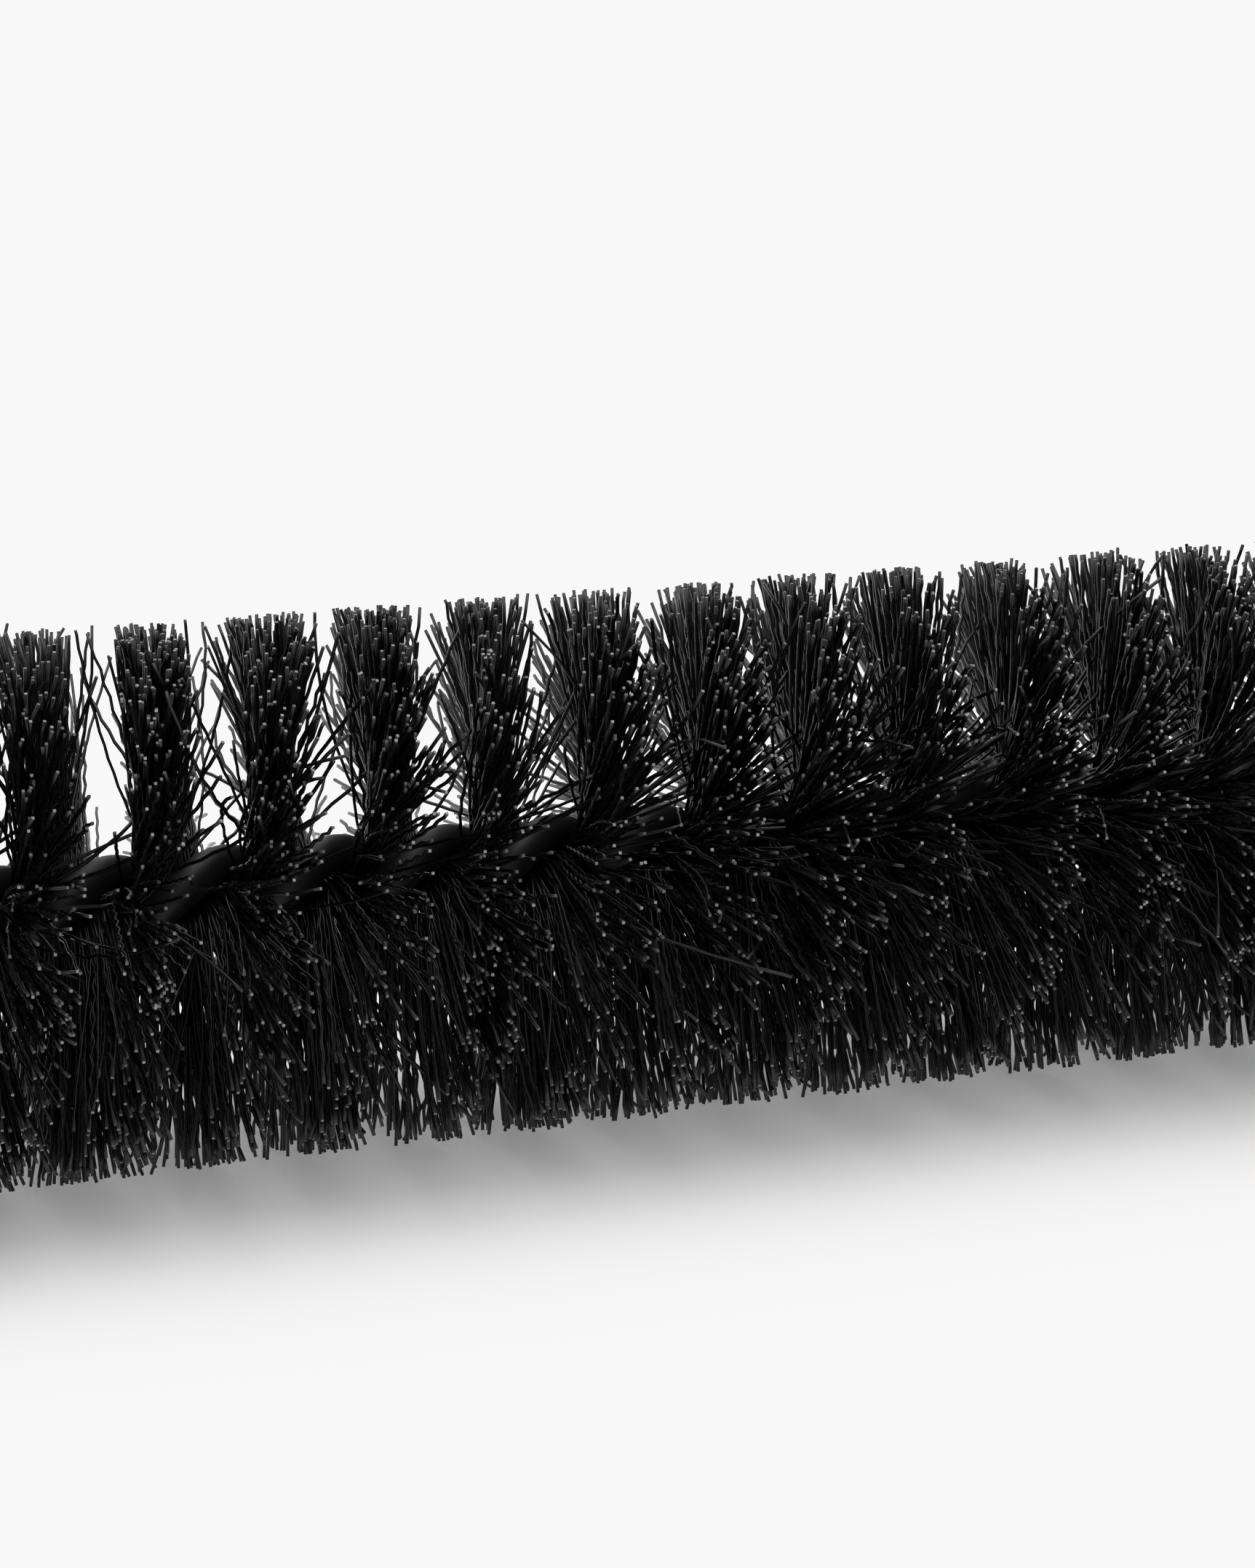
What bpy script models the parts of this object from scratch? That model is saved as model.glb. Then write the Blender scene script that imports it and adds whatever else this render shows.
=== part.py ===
"""Wheel brush: a twisted-in-wire brush head on a bendable neck, with a moulded handle.

Metres, +Z up. The brush lies on its side with its axis along +X, from the handle's end to the tip.
The origin is on the surface it lies on, under the middle of its length.
Distances along the axis are measured from the handle's end, and shifted once, in `place`.
"""
import math

import bmesh
import bpy
from mathutils import Vector

MM = 0.001
GAP = 0.3 * MM                    # clearance between pieces that touch

# Driving dimensions of the brush head
HEAD_RADIUS = 27.0 * MM
HALF_TURN = 11.3 * MM             # length of the core in which the strands turn by 180 degrees
ROW_COUNT = 18                    # bristle rows, one for each half turn
HEAD_START = 186.0 * MM
HEAD_END = HEAD_START + ROW_COUNT * HALF_TURN

# The bristle rows: distance from the axis and thickness there, thin in the core and flared at the tips
ROW_PROFILE = (
    (0.0, 0.7 * MM),
    (4.8 * MM, 1.2 * MM),
    (14.0 * MM, 3.6 * MM),
    (HEAD_RADIUS - 0.02 * MM, 7.0 * MM),
)
ROW_STEPS = 8                     # rulings in each half turn

# The core: one steel wire folded at the tip, coated, and twisted with itself
STRAND_OFFSET = 2.65 * MM         # from the brush's axis to the middle of a strand
WIRE_RADIUS = 1.1 * MM
COATING_RADIUS = 1.9 * MM
COATING_WALL = 0.5 * MM
TWIST_RATE = -math.pi / HALF_TURN  # radians per metre, a left-handed twist
TWIST_RAMP = 6.0 * MM             # length over which the twist fades out at each end
TWIST_START = 134.0 * MM
FOLD_AT = HEAD_END + TWIST_RAMP
STEPS_PER_TURN = 8

# The handle, from its end to the neck
TAB_RADIUS = 10.0 * MM
TAB_THICKNESS = 8.0 * MM
HANG_HOLE_RADIUS = 4.6 * MM
CAP_FLANGE_START = 15.0 * MM
CORE_START = 22.0 * MM
FLANGE_RADIUS = 15.0 * MM
GRIP_START = 29.0 * MM
GRIP_END = 118.0 * MM
GRIP_SEAT_RADIUS = 12.0 * MM
COLLAR_END = 128.0 * MM
NOSE_RADIUS = 9.0 * MM
NOSE_END = 142.0 * MM
REAR_BORE = 5.6 * MM
FRONT_BORE = 4.95 * MM
BORE_STEP = 110.0 * MM
GUARD_THICKNESS = 6.0 * MM
GUARD_CORNER_RADIUS = 30.0 * MM
BOOT_END = 160.0 * MM
WIRE_END = 88.5 * MM
COATING_START = 112.0 * MM
CRIMP_RADIUS = 5.2 * MM
CRIMP_LENGTH = 20.0 * MM
PLUG_RADIUS = 5.3 * MM

# The tip cap
CAP_RADIUS = 7.4 * MM
TIP_CAP_START = HEAD_END + 1.6 * MM
TIP_CAVITY_END = FOLD_AT + STRAND_OFFSET + COATING_RADIUS + 0.6 * MM
LENGTH = TIP_CAVITY_END + 6.0 * MM

ROUND_SIDES = 24


def clear_scene():
    for thing in list(bpy.data.objects):
        bpy.data.objects.remove(thing, do_unlink=True)


def material(name, colour, roughness, metallic=0.0):
    made = bpy.data.materials.new(name)
    made.use_nodes = True
    shader = made.node_tree.nodes["Principled BSDF"]
    shader.inputs["Base Color"].default_value = (*colour, 1.0)
    shader.inputs["Roughness"].default_value = roughness
    shader.inputs["Metallic"].default_value = metallic
    return made


def place(name, shape, look, parent):
    """Makes an object of a bmesh, and moves it from distances along the axis to the brush's own frame."""
    mesh = bpy.data.meshes.new(name)
    bmesh.ops.recalc_face_normals(shape, faces=shape.faces)
    shape.to_mesh(mesh)
    shape.free()
    mesh.shade_smooth()
    mesh.set_sharp_from_angle(angle=math.radians(35))
    mesh.materials.append(look)
    node = bpy.data.objects.new(name, mesh)
    bpy.context.scene.collection.objects.link(node)
    node.location = Vector((-LENGTH / 2, 0.0, HEAD_RADIUS)) - parent.location
    node.parent = parent
    return node


def empty(name, along):
    """An empty on the brush's axis, which the pieces of one body are parented to."""
    made = bpy.data.objects.new(name, None)
    bpy.context.scene.collection.objects.link(made)
    made.location = (along - LENGTH / 2, 0.0, HEAD_RADIUS)
    return made


def around(along, radius, angle):
    return Vector((along, radius * math.cos(angle), radius * math.sin(angle)))


def turned(profile, sides=ROUND_SIDES):
    """A solid turned around the axis from a closed outline of (distance along, radius) points."""
    shape = bmesh.new()
    rings = []
    for along, radius in profile:
        if radius == 0.0:
            rings.append([shape.verts.new((along, 0.0, 0.0))] * sides)
        else:
            rings.append([shape.verts.new(around(along, radius, math.tau * side / sides))
                          for side in range(sides)])
    for ring, following in zip(rings, rings[1:] + rings[:1]):
        for side in range(sides):
            after = (side + 1) % sides
            corners = [ring[side], ring[after], following[after], following[side]]
            corners = list(dict.fromkeys(corners))
            if len(corners) >= 3:
                shape.faces.new(corners)
    return shape


def twist_angle(along):
    """Angle of the core's twist: a steady rate, fading in and out over TWIST_RAMP at its two ends."""
    steady_start = TWIST_START + TWIST_RAMP
    if along >= HEAD_END:
        past = min(along, FOLD_AT) - HEAD_END
        return TWIST_RATE * (HEAD_END - HEAD_START + past - past * past / (2 * TWIST_RAMP))
    if along >= steady_start:
        return TWIST_RATE * (along - HEAD_START)
    short = steady_start - max(along, TWIST_START)
    return TWIST_RATE * (steady_start - HEAD_START - short + short * short / (2 * TWIST_RAMP))


def strand_stations(first):
    """Distances along the axis where a strand's path has a point, closer together where it twists."""
    step = 2 * HALF_TURN / STEPS_PER_TURN
    before_head = math.floor((HEAD_START - TWIST_START - TWIST_RAMP) / step)
    in_head = round((HEAD_END - HEAD_START) / step)
    stations = [first, TWIST_START, TWIST_START + 0.5 * TWIST_RAMP]
    stations += [HEAD_START + step * count for count in range(-before_head, in_head + 1)]
    stations += [HEAD_END + 0.5 * TWIST_RAMP, FOLD_AT]
    return stations


def hairpin(first):
    """The folded wire's middle line, as (point, outward direction): out, round the fold, and back."""
    out = []
    back = []
    for along in strand_stations(first):
        angle = twist_angle(along) + math.pi / 2
        outward = around(0.0, 1.0, angle)
        out.append((around(along, STRAND_OFFSET, angle), outward))
        back.append((around(along, -STRAND_OFFSET, angle), -outward))
    fold = []
    outward = around(0.0, 1.0, twist_angle(FOLD_AT) + math.pi / 2)
    fold_steps = 6
    for step in range(1, fold_steps):
        turn = math.pi * step / fold_steps
        direction = outward * math.cos(turn) + Vector((1.0, 0.0, 0.0)) * math.sin(turn)
        fold.append((Vector((FOLD_AT, 0.0, 0.0)) + direction * STRAND_OFFSET, direction))
    return out + fold + back[::-1]


def tube_rings(shape, path, radius, sides):
    """Rings of points around a path, each with a flat side turned towards the path's inner side."""
    rings = []
    for index, (centre, outward) in enumerate(path):
        ahead = path[min(index + 1, len(path) - 1)][0]
        behind = path[max(index - 1, 0)][0]
        tangent = (ahead - behind).normalized()
        normal = (outward - tangent * outward.dot(tangent)).normalized()
        across = tangent.cross(normal)
        ring = []
        for side in range(sides):
            angle = math.tau * (side + 0.5) / sides
            offset = normal * math.cos(angle) + across * math.sin(angle)
            ring.append(shape.verts.new(centre + offset * radius))
        rings.append(ring)
    return rings


def skin(shape, rings):
    for ring, following in zip(rings, rings[1:]):
        for side in range(len(ring)):
            after = (side + 1) % len(ring)
            shape.faces.new((ring[side], ring[after], following[after], following[side]))


def core_wire():
    shape = bmesh.new()
    rings = tube_rings(shape, hairpin(WIRE_END), WIRE_RADIUS, 6)
    skin(shape, rings)
    shape.faces.new(rings[0])
    shape.faces.new(rings[-1])
    return shape


def wire_coating():
    """A tube over the wire, whose bore follows the wire with a small clearance."""
    shape = bmesh.new()
    path = hairpin(COATING_START)
    outer = tube_rings(shape, path, COATING_RADIUS, 8)
    inner = tube_rings(shape, path, COATING_RADIUS - COATING_WALL, 8)
    skin(shape, outer)
    skin(shape, inner)
    for end in (0, -1):
        for side in range(8):
            after = (side + 1) % 8
            shape.faces.new((outer[end][side], outer[end][after], inner[end][after], inner[end][side]))
    return shape


def bristle_row(start):
    """Half a turn of filaments: a twisted blade through the core, out to the tips on both sides."""
    shape = bmesh.new()
    stations = [start + HALF_TURN * step / ROW_STEPS for step in range(ROW_STEPS + 1)]
    stations[0] += GAP / 2
    stations[-1] -= GAP / 2
    profile = [(-radius, thickness) for radius, thickness in ROW_PROFILE[:0:-1]] + list(ROW_PROFILE)
    faces = []
    for sign in (1, -1):
        grid = []
        for along in stations:
            angle = TWIST_RATE * (along - HEAD_START)
            ruling = around(0.0, 1.0, angle)
            row = []
            for radius, thickness in profile:
                lean = TWIST_RATE * radius
                normal = Vector((lean, math.sin(angle), -math.cos(angle))).normalized()
                middle = Vector((along, 0.0, 0.0)) + ruling * radius
                row.append(shape.verts.new(middle + normal * (sign * thickness / 2)))
            grid.append(row)
        faces.append(grid)
    front, back = faces
    last = len(profile) - 1
    for one, two in zip(range(ROW_STEPS), range(1, ROW_STEPS + 1)):
        for column in range(last):
            for grid in faces:
                shape.faces.new((grid[one][column], grid[one][column + 1],
                                 grid[two][column + 1], grid[two][column]))
        for edge in (0, last):
            shape.faces.new((front[one][edge], front[two][edge], back[two][edge], back[one][edge]))
    for end in (0, ROW_STEPS):
        for column in range(last):
            shape.faces.new((front[end][column], front[end][column + 1],
                             back[end][column + 1], back[end][column]))
    return shape


def tip_cap():
    """A soft bumper over the wire's fold, open towards the bristles, with a domed nose."""
    cavity = STRAND_OFFSET + COATING_RADIUS + 0.35 * MM
    dome_start = LENGTH - CAP_RADIUS
    outline = [(TIP_CAVITY_END, 0.0), (TIP_CAVITY_END, cavity), (TIP_CAP_START, cavity),
               (TIP_CAP_START, CAP_RADIUS), (dome_start, CAP_RADIUS)]
    for step in range(1, 4):
        turn = math.pi / 2 * step / 4
        outline.append((dome_start + CAP_RADIUS * math.sin(turn), CAP_RADIUS * math.cos(turn)))
    outline.append((LENGTH, 0.0))
    return turned(outline)


def handle_core():
    """The rigid handle: a flange, the grip's seat, a collar and a nose, bored through with one step."""
    return turned([
        (CORE_START, REAR_BORE),
        (CORE_START, FLANGE_RADIUS - 1.0 * MM),
        (CORE_START + 1.0 * MM, FLANGE_RADIUS),
        (GRIP_START - GAP, FLANGE_RADIUS),
        (GRIP_START - GAP, GRIP_SEAT_RADIUS),
        (GRIP_END + GAP, GRIP_SEAT_RADIUS),
        (GRIP_END + GAP, FLANGE_RADIUS),
        (COLLAR_END - 1.5 * MM, FLANGE_RADIUS),
        (COLLAR_END, FLANGE_RADIUS - 1.5 * MM),
        (COLLAR_END, NOSE_RADIUS),
        (NOSE_END, NOSE_RADIUS),
        (NOSE_END, FRONT_BORE),
        (BORE_STEP, FRONT_BORE),
        (BORE_STEP, REAR_BORE),
    ])


def grip_sleeve():
    """A soft sleeve with a palm swell and rounded ends."""
    bore = GRIP_SEAT_RADIUS + GAP
    outline = [(GRIP_END, bore), (GRIP_START, bore)]
    steps = 10
    for step in range(steps + 1):
        share = step / steps
        swell = 14.6 * MM + 2.4 * MM * math.sin(math.pi * share)
        outline.append((GRIP_START + (GRIP_END - GRIP_START) * share, swell))
    return turned(outline)


def hand_guard():
    """A disc that keeps the hand off the wheel: a rounded hexagon, so that the brush doesn't roll."""
    flat_half_angle = math.acos(HEAD_RADIUS / GUARD_CORNER_RADIUS)
    outline = []
    for side in range(6):
        middle = math.pi / 2 + side * math.pi / 3
        corner = middle + math.pi / 6
        for angle in (middle - flat_half_angle, middle, middle + flat_half_angle, corner):
            off = abs(angle - middle)
            radius = HEAD_RADIUS / math.cos(off) if off <= flat_half_angle + 1e-9 else GUARD_CORNER_RADIUS
            outline.append((angle, radius))
    start = COLLAR_END + GAP
    shape = bmesh.new()
    rings = []
    for along, inset, hole in ((start, 1.5 * MM, False), (start + 1.5 * MM, 0.0, False),
                               (start + GUARD_THICKNESS - 1.5 * MM, 0.0, False),
                               (start + GUARD_THICKNESS, 1.5 * MM, False),
                               (start + GUARD_THICKNESS, 0.0, True), (start, 0.0, True)):
        ring = []
        for angle, radius in outline:
            reach = NOSE_RADIUS + GAP if hole else radius - inset
            ring.append(shape.verts.new(around(along, reach, angle)))
        rings.append(ring)
    skin(shape, rings + rings[:1])
    return shape


def neck_boot():
    """A tapered rubber sleeve where the twisted core leaves the handle."""
    start = COLLAR_END + 2 * GAP + GUARD_THICKNESS
    return turned([
        (start, NOSE_RADIUS + GAP),
        (start, 13.0 * MM),
        (start + 3.0 * MM, 13.0 * MM),
        (NOSE_END + 2.0 * MM, 9.6 * MM),
        (BOOT_END - 1.0 * MM, 6.8 * MM),
        (BOOT_END, 6.2 * MM),
        (BOOT_END, FRONT_BORE),
        (NOSE_END + GAP, FRONT_BORE),
        (NOSE_END + GAP, NOSE_RADIUS + GAP),
    ])


def wire_crimp():
    """A steel sleeve swaged on the wire's two legs, stopped by the step in the handle's bore."""
    end = BORE_STEP - GAP
    leg_reach = STRAND_OFFSET + WIRE_RADIUS + GAP
    return turned([(end - CRIMP_LENGTH, leg_reach), (end - CRIMP_LENGTH, CRIMP_RADIUS),
                   (end, CRIMP_RADIUS), (end, leg_reach)])


def anchor_plug():
    """A plug pushed in behind the wire, so that the core can't slide back into the handle."""
    end = WIRE_END - GAP
    start = end - 24.0 * MM
    return turned([(start, 0.0), (start, PLUG_RADIUS - 0.8 * MM), (start + 0.8 * MM, PLUG_RADIUS),
                   (end, PLUG_RADIUS), (end, 0.0)])


def end_cap_body():
    """The end cap's flange and the plug that it is pressed into the handle's bore with."""
    flange_end = CORE_START - GAP
    return turned([
        (CAP_FLANGE_START, 0.0),
        (CAP_FLANGE_START, FLANGE_RADIUS - 2.0 * MM),
        (CAP_FLANGE_START + 2.0 * MM, FLANGE_RADIUS),
        (flange_end, FLANGE_RADIUS),
        (flange_end, PLUG_RADIUS),
        (flange_end + 16.0 * MM, PLUG_RADIUS),
        (flange_end + 16.0 * MM, 0.0),
    ])


def end_cap_tab():
    """The hanging tab: a plate in the XZ plane with a round end and a hole along Y."""
    centre = TAB_RADIUS
    round_steps = 10
    outline = []
    for step in range(round_steps + 1):
        angle = math.pi / 2 + math.pi * step / round_steps
        outline.append((centre + TAB_RADIUS * math.cos(angle), TAB_RADIUS * math.sin(angle)))
    outline.append((CAP_FLANGE_START + 2.0 * MM, -TAB_RADIUS))
    outline.append((CAP_FLANGE_START + 2.0 * MM, TAB_RADIUS))
    shape = bmesh.new()
    sides = []
    for across in (-TAB_THICKNESS / 2, TAB_THICKNESS / 2):
        sides.append([shape.verts.new((along, across, height)) for along, height in outline])
    skin(shape, [[*sides[0]], [*sides[1]]])
    for side in sides:
        shape.faces.new(side)
    return shape


def hang_hole():
    """The hole's cutter, longer than the tab is thick."""
    shape = bmesh.new()
    rings = []
    for across in (-TAB_THICKNESS, TAB_THICKNESS):
        ring = []
        for side in range(20):
            angle = math.tau * side / 20
            ring.append(shape.verts.new((TAB_RADIUS + HANG_HOLE_RADIUS * math.cos(angle), across,
                                         HANG_HOLE_RADIUS * math.sin(angle))))
        rings.append(ring)
    skin(shape, rings)
    for ring in rings:
        shape.faces.new(ring)
    return shape


def hide_cutter(cutter):
    cutter.hide_render = True
    cutter.display_type = "WIRE"


def add_boolean(node, cutter, operation):
    cut = node.modifiers.new(cutter.name, "BOOLEAN")
    cut.object = cutter
    cut.operation = operation
    cut.solver = "EXACT"
    hide_cutter(cutter)


def main():
    clear_scene()
    filament = material("filament", (0.012, 0.012, 0.013), 0.32)
    coating = material("coating", (0.010, 0.010, 0.011), 0.55)
    steel = material("steel", (0.55, 0.55, 0.56), 0.35, 1.0)
    rigid = material("rigid_plastic", (0.020, 0.020, 0.022), 0.45)
    rubber = material("soft_rubber", (0.028, 0.028, 0.030), 0.75)

    handle = empty("handle_axis", 0.0)
    head = empty("neck_bend_axis", (BOOT_END + HEAD_START) / 2)

    place("handle_core", handle_core(), rigid, handle)
    place("grip_sleeve", grip_sleeve(), rubber, handle)
    place("hand_guard", hand_guard(), rubber, handle)
    place("neck_boot", neck_boot(), rubber, handle)
    place("wire_crimp", wire_crimp(), steel, handle)
    place("anchor_plug", anchor_plug(), rigid, handle)
    end_cap = place("end_cap", end_cap_body(), rigid, handle)
    add_boolean(end_cap, place("cap_tab_guide", end_cap_tab(), rigid, handle), "UNION")
    add_boolean(end_cap, place("hang_hole_guide", hang_hole(), rigid, handle), "DIFFERENCE")

    place("core_wire", core_wire(), steel, head)
    place("wire_coating", wire_coating(), coating, head)
    place("tip_cap", tip_cap(), rubber, head)
    for row in range(ROW_COUNT):
        name = f"bristle_row_{row + 1:02d}"
        place(name, bristle_row(HEAD_START + row * HALF_TURN), filament, head)


main()
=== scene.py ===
"""Looks of the wheel brush.

Crimped filaments on a coated, twisted wire core, and the moulded and rubber parts of the handle.
"""
import math

import bmesh
import bpy
import numpy as np
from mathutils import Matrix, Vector


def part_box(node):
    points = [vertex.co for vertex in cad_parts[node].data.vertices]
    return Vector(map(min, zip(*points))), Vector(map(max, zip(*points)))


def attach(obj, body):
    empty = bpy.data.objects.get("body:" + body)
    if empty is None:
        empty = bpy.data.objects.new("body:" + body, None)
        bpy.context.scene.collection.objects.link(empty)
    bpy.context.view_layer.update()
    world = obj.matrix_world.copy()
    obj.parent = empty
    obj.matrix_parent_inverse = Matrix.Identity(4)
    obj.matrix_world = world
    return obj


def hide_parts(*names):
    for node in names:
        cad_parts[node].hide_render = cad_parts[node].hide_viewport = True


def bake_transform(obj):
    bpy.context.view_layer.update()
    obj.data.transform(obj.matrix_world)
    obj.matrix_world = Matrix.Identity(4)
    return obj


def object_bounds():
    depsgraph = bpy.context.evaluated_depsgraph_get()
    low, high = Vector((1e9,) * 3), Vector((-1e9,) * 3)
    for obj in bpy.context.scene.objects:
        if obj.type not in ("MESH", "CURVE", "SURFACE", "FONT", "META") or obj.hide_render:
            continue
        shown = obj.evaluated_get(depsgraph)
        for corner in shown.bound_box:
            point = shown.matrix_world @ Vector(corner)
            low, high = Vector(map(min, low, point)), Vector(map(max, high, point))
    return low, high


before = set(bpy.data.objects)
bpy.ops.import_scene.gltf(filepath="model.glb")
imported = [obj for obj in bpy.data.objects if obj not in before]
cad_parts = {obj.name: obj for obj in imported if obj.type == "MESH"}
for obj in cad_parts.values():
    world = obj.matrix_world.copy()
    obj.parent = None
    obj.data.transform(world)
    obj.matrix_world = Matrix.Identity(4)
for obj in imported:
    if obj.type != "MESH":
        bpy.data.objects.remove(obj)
cad_low, cad_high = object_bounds()

MM = 0.001

# Sizes that the frame gives
ROWS = sorted(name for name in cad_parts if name.startswith("bristle_row_"))
first_low, first_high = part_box(ROWS[0])
next_low, next_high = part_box(ROWS[1])
HALF_TURN = ((next_low + next_high) - (first_low + first_high)).x / 2
AXIS_Z = (first_low.z + first_high.z) / 2
HEAD_RADIUS = (first_high.z - first_low.z) / 2
HEAD_START = (first_low.x + first_high.x) / 2 - HALF_TURN / 2
HEAD_END = HEAD_START + HALF_TURN * len(ROWS)
TWIST_RATE = -math.pi / HALF_TURN  # left-handed
AXIS = np.array([1.0, 0.0, 0.0])
ON_AXIS = np.array([0.0, 0.0, AXIS_Z])

# Filaments. A leg is half a filament, from the core to a tip.
FILAMENT_RADIUS = 0.195 * MM
LEGS_PER_ROW = 640
LEGS_PER_BUNCH = 12
CRIMP_HALF_WAVE = 1.35 * MM
CRIMP_HEIGHT = 0.115 * MM
CRIMP_FROM = 2.5 * MM             # distance from the axis at which the crimp begins to show
CRIMP_RAMP = 4.0 * MM
PLAIN_TIP = 0.3 * MM              # stretch at the tip that isn't crimped
SLIT = 0.5 * MM                   # half the space between the strands, which the filaments fill
SLIT_WIDENS_OVER = 2.2 * MM
SLIT_WIDENS_TO = 4.0 * MM
SPLAY_FROM = 3.5 * MM             # distance from the axis at which the legs begin to fan out
SPLAY_CURVES = (0.75, 1.75)       # above 1, a leg leans more towards its tip
SWEPT_CURVE = 0.9
FAN_SPREAD = 3.9 * MM             # half the fan's width at the tips
END_FAN = 5.5 * MM                # how far the filaments lean out past the head's two ends
TRIM_RADIUS = HEAD_RADIUS - 0.25 * MM
OUTER_GAP = 0.02 * MM             # kept between the filaments and the sides of the CAD head
BOW = 0.35 * MM                   # how far a leg bows out, as a standard deviation, like the scatters below
STRAY_BOW = 1.3 * MM
BUNCH_PLACE = 0.09                # within a bunch: along the core in half turns, and at the tips
BUNCH_TIP = 0.5 * MM
LEG_TRIM = 0.16 * MM
BUNCH_ACROSS = 1.1 * MM           # from bunch to bunch
BUNCH_TRIM = 0.15 * MM
LOOSE_SHARE = 0.5                 # share of legs that stand outside the bunches
LOOSE_ALONG = 0.55                # in fan spreads
LOOSE_ACROSS = 2.0 * MM
STRAY_SHARE = 0.07                # share of legs that lean far out of their fan
STRAY_ALONG = 5.5 * MM
STRAY_ACROSS = 6.0 * MM
NARROWED_ROWS = (8, 11)           # from the one to the other, the fans narrow to this share
NARROWED_SPREADS = (1.0, 0.84)
SWEPT_ROWS = (6, 10)              # from the one to the other, the share of legs swept along the core grows
SWEPT_SHARES = (0.01, 0.14)
SWEPT_LEAN = (5.0 * MM, 15.0 * MM)
SWEPT_LENGTH = (0.3, 0.85)
SEED = 1000
UV_NAME = "OFBake"                # the UV map with a cell for each filament

# The twisted core
STRAND_OFFSET = 2.65 * MM
COATING_RADIUS = 1.9 * MM
COATING_BORE = 1.4 * MM
WIRE_RADIUS = 1.1 * MM
TWIST_RAMP = 6.0 * MM
TWIST_START = HEAD_START - 52.0 * MM
FOLD_AT = HEAD_END + TWIST_RAMP

# Handle
GAP = 0.3 * MM                    # clearance between pieces, as in the CAD
NOSE_RADIUS = 9.0 * MM            # the handle's nose, on which the guard and the boot sit
NOSE_BORE = NOSE_RADIUS + GAP
WIRE_BORE = 4.95 * MM             # the hole in the nose and the boot that the strands pass through
ANCHOR_BORE = 5.6 * MM            # the hole in the handle for the crimp and the plug
GRIP_SEAT = 12.0 * MM
GRIP_BORE = GRIP_SEAT + GAP
TAB_RADIUS = 10.0 * MM            # also the distance of the hanging hole from the handle's end
TAB_HALF_THICKNESS = 4.0 * MM
HOLE_RADIUS = 4.6 * MM

# Camera, at the photograph's angle
CAMERA_DISTANCE = 0.400
CAMERA_YAW = math.radians(18.61)
CAMERA_ELEVATION = math.radians(16.57)
CAMERA_AIM_UP = math.radians(0.99)
CAMERA_LENS = 90.1
AIM_ROW = 8.775                   # half turns from the head's start to the camera's aim
FLOOR_HALF_SIZE = 6.0


def new_object(name, mesh):
    """An object of the mesh, light or camera, linked to the scene."""
    made = bpy.data.objects.new(name, mesh)
    bpy.context.scene.collection.objects.link(made)
    return made


# ---------------------------------------------------------------- materials

def principled(name, colour, roughness, specular=0.5, metallic=0.0):
    """A material with plain values on its shader, which a look's nodes then drive."""
    made = bpy.data.materials.new(name)
    made.use_nodes = True
    shader = made.node_tree.nodes["Principled BSDF"]
    shader.inputs["Base Color"].default_value = (*colour, 1.0)
    shader.inputs["Roughness"].default_value = roughness
    shader.inputs["Specular IOR Level"].default_value = specular
    shader.inputs["Metallic"].default_value = metallic
    return made


def noise_texture(nodes, links, place, scale, detail):
    """The factor output of a noise texture."""
    noise = nodes.new("ShaderNodeTexNoise")
    noise.inputs["Scale"].default_value = scale
    noise.inputs["Detail"].default_value = detail
    links.new(place, noise.inputs["Vector"])
    return noise.outputs["Fac"]


def drive_colour(nodes, links, value, stops):
    """Drives the shader's base colour through a ramp with stops of (position, colour)."""
    ramp = nodes.new("ShaderNodeValToRGB")
    for _ in stops[2:]:
        ramp.color_ramp.elements.new(0.5)
    for element, (position, colour) in zip(ramp.color_ramp.elements, stops):
        element.position = position
        element.color = (*colour, 1.0)
    links.new(value, ramp.inputs["Fac"])
    links.new(ramp.outputs["Color"], nodes["Principled BSDF"].inputs["Base Color"])


def drive_roughness(nodes, links, value, low, high):
    """Drives the shader's roughness from low to high over the middle of a noise's range."""
    rough = nodes.new("ShaderNodeMapRange")
    rough.inputs["From Min"].default_value = 0.3
    rough.inputs["From Max"].default_value = 0.7
    rough.inputs["To Min"].default_value = low
    rough.inputs["To Max"].default_value = high
    links.new(value, rough.inputs["Value"])
    links.new(rough.outputs["Result"], nodes["Principled BSDF"].inputs["Roughness"])


def multiply_add(nodes, links, value, factor, added):
    """A math node giving value * factor + added, where added is a number or another node's output."""
    node = nodes.new("ShaderNodeMath")
    node.operation = "MULTIPLY_ADD"
    links.new(value, node.inputs[0])
    node.inputs[1].default_value = factor
    if isinstance(added, float):
        node.inputs[2].default_value = added
    else:
        links.new(added, node.inputs[2])
    return node.outputs[0]


def noise_look(name, dark, pale, roughness, grain, mottle, bump,
               stretch=(1.0, 1.0, 1.0), specular=0.4, metallic=0.0):
    """A surface whose colour and roughness drift with a broad noise, and whose grain is a fine bump.

    grain and mottle are the scales of the fine and the broad noise; bump is (strength, distance in metres).
    """
    made = principled(name, dark, roughness[0], specular, metallic)
    nodes, links = made.node_tree.nodes, made.node_tree.links
    place = nodes.new("ShaderNodeTexCoord")
    mapping = nodes.new("ShaderNodeMapping")
    mapping.inputs["Scale"].default_value = stretch
    links.new(place.outputs["Object"], mapping.inputs["Vector"])
    broad = noise_texture(nodes, links, mapping.outputs["Vector"], mottle, 5.0)
    drive_colour(nodes, links, broad, ((0.35, dark), (0.7, pale)))
    drive_roughness(nodes, links, broad, *roughness)
    relief = nodes.new("ShaderNodeBump")
    relief.inputs["Strength"].default_value = bump[0]
    relief.inputs["Distance"].default_value = bump[1]
    links.new(noise_texture(nodes, links, mapping.outputs["Vector"], grain, 3.0), relief.inputs["Height"])
    links.new(relief.outputs["Normal"], nodes["Principled BSDF"].inputs["Normal"])
    return made


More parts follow.
